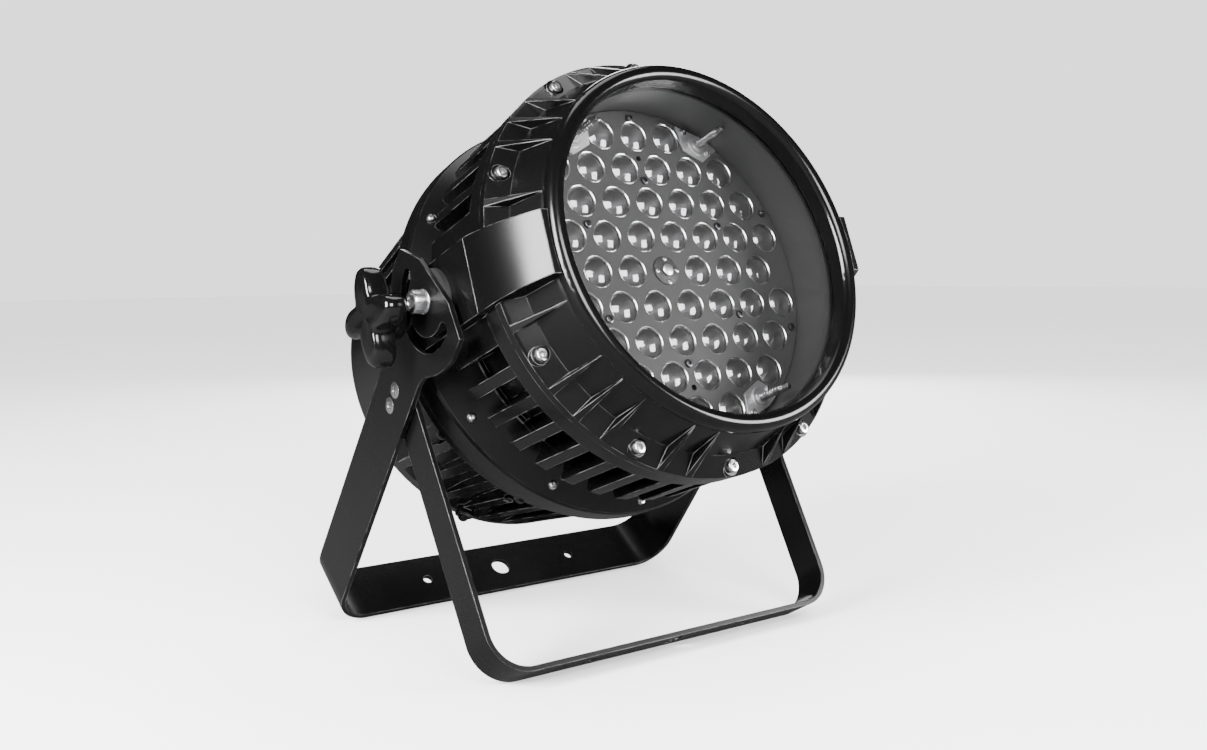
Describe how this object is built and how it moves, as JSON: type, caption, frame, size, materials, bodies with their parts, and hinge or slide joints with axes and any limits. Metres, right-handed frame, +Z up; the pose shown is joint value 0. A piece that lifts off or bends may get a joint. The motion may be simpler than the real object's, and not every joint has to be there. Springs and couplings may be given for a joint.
{
  "type": "par can light",
  "caption": "Round sealed stage light with a multi-lens zoom front, a finned cast body, a slotted hanging yoke with star knobs and a folding front stand.",
  "frame": {"origin": "centre of the bounding box in X and Y, at the floor plane the yoke and stand rest on", "axes": "+Z up; the light points towards -Y and up 20.4 degrees; +X along the tilt axis"},
  "size_m": [0.3288, 0.323, 0.3528],
  "materials": {
    "housing": "die-cast, satin black powder coat",
    "trim": "satin dark grey",
    "yoke_steel": "satin black powder coat",
    "knob_plastic": "polished black",
    "fastener_steel": "stainless, some blackened",
    "bright_aluminium": "machined bright",
    "screw_steel": "rolled steel",
    "glass": "clear, flat",
    "lens_plastic": "clear optical acrylic",
    "plate": "matt black",
    "seal_rubber": "matt",
    "friction_pad": "matt",
    "sockets": "semi-gloss black",
    "buttons": "soft matt",
    "display_glass": "smoked window",
    "display": "dark liquid crystal panel",
    "board": "solder mask",
    "emitters": "phosphor",
    "thermal": "soft grey",
    "sheet_metal": "mill finish",
    "motors": "plated can"
  },
  "bodies": {
    "yoke": {"hanging_yoke": "yoke_steel", "stand_screws": "fastener_steel", "stand_spacers": "fastener_steel", "stand_nuts": "fastener_steel"},
    "stand": {"front_stand": "yoke_steel"},
    "head": {"front_bezel": "housing", "front_glass": "glass", "glass_gasket": "seal_rubber", "trim_sleeve": "trim", "front_shell": "housing", "front_seal": "seal_rubber", "front_shell_screws": "fastener_steel", "mid_shell": "housing", "mid_shell_screws": "fastener_steel", "rear_seal": "seal_rubber", "rear_shell": "housing", "rear_shell_screws": "fastener_steel", "rear_cover": "housing", "rear_cover_screws": "fastener_steel", "display_window": "display_glass", "display_module": "display", "power_inlet": "sockets", "power_outlet": "sockets", "data_inlet": "sockets", "data_outlet": "sockets", "breather_vent": "seal_rubber", "safety_eye": "fastener_steel", "zoom_motors": "motors", "led_board": "board", "led_emitters": "emitters", "thermal_pad": "thermal", "chassis_tray": "sheet_metal", "power_supply": "sheet_metal", "control_board": "board", "board_standoffs": "sockets", "pivot_bolts": "fastener_steel", "pivot_washers": "fastener_steel", "friction_discs": "friction_pad", "knob_studs": "fastener_steel", "knob_washers": "fastener_steel"},
    "lens_carriage": {"lens_plate": "plate", "zoom_lenses": "lens_plastic", "centre_boss": "bright_aluminium", "lens_plate_screws": "fastener_steel", "lead_nuts": "bright_aluminium"},
    "knob_right": {"knob_right": "knob_plastic"},
    "knob_left": {"knob_left": "knob_plastic"},
    "lead_screw_a": {"lead_screw_a": "screw_steel"},
    "lead_screw_b": {"lead_screw_b": "screw_steel"},
    "lead_screw_c": {"lead_screw_c": "screw_steel"},
    "lead_screw_d": {"lead_screw_d": "screw_steel"},
    "button_menu": {"button_menu": "buttons"},
    "button_down": {"button_down": "buttons"},
    "button_up": {"button_up": "buttons"},
    "button_enter": {"button_enter": "buttons"}
  },
  "joints": [
    {"name": "head_tilt", "type": "hinge", "parent": "yoke", "child": "head", "pos_m": [0, -0.03676, 0.21191], "axis": [1, 0, 0], "range_deg": [-119, 54]},
    {"name": "stand_fold", "type": "hinge", "parent": "yoke", "child": "stand", "pos_m": [0, 0.00209, 0.1598], "axis": [1, 0, 0], "range_deg": [0, 65]},
    {"name": "zoom", "type": "slide", "parent": "head", "child": "lens_carriage", "axis": [0, -0.9373, 0.3486], "range_m": [0, 0.022]},
    {"name": "knob_right_turn", "type": "hinge", "parent": "head", "child": "knob_right", "pos_m": [0.1394, -0.0138, 0.20338], "axis": [1, 0, 0], "range_deg": [0, 360]},
    {"name": "knob_left_turn", "type": "hinge", "parent": "head", "child": "knob_left", "pos_m": [-0.1394, -0.0138, 0.20338], "axis": [-1, 0, 0], "range_deg": [0, 360]},
    {"name": "lead_screw_a_turn", "type": "hinge", "parent": "head", "child": "lead_screw_a", "pos_m": [0.0475, -0.05026, 0.30471], "axis": [0, -0.9373, 0.3486], "range_deg": [0, 995]},
    {"name": "lead_screw_b_turn", "type": "hinge", "parent": "head", "child": "lead_screw_b", "pos_m": [-0.0475, -0.05026, 0.30471], "axis": [0, -0.9373, 0.3486], "range_deg": [0, 995]},
    {"name": "lead_screw_c_turn", "type": "hinge", "parent": "head", "child": "lead_screw_c", "pos_m": [-0.0475, -0.10761, 0.15049], "axis": [0, -0.9373, 0.3486], "range_deg": [0, 995]},
    {"name": "lead_screw_d_turn", "type": "hinge", "parent": "head", "child": "lead_screw_d", "pos_m": [0.0475, -0.10761, 0.15049], "axis": [0, -0.9373, 0.3486], "range_deg": [0, 995]},
    {"name": "button_menu_press", "type": "slide", "parent": "head", "child": "button_menu", "axis": [0, -0.9373, 0.3486], "range_m": [0, 0.0012], "stiffness_N_per_m": 600, "springref_m": -0.0005},
    {"name": "button_down_press", "type": "slide", "parent": "head", "child": "button_down", "axis": [0, -0.9373, 0.3486], "range_m": [0, 0.0012], "stiffness_N_per_m": 600, "springref_m": -0.0005},
    {"name": "button_up_press", "type": "slide", "parent": "head", "child": "button_up", "axis": [0, -0.9373, 0.3486], "range_m": [0, 0.0012], "stiffness_N_per_m": 600, "springref_m": -0.0005},
    {"name": "button_enter_press", "type": "slide", "parent": "head", "child": "button_enter", "axis": [0, -0.9373, 0.3486], "range_m": [0, 0.0012], "stiffness_N_per_m": 600, "springref_m": -0.0005}
  ],
  "couplings": [
    {"joint": "lead_screw_a_turn", "follows": "zoom", "rad_per_m": 785.4},
    {"joint": "lead_screw_b_turn", "follows": "zoom", "rad_per_m": 785.4},
    {"joint": "lead_screw_c_turn", "follows": "zoom", "rad_per_m": 785.4},
    {"joint": "lead_screw_d_turn", "follows": "zoom", "rad_per_m": 785.4}
  ]
}
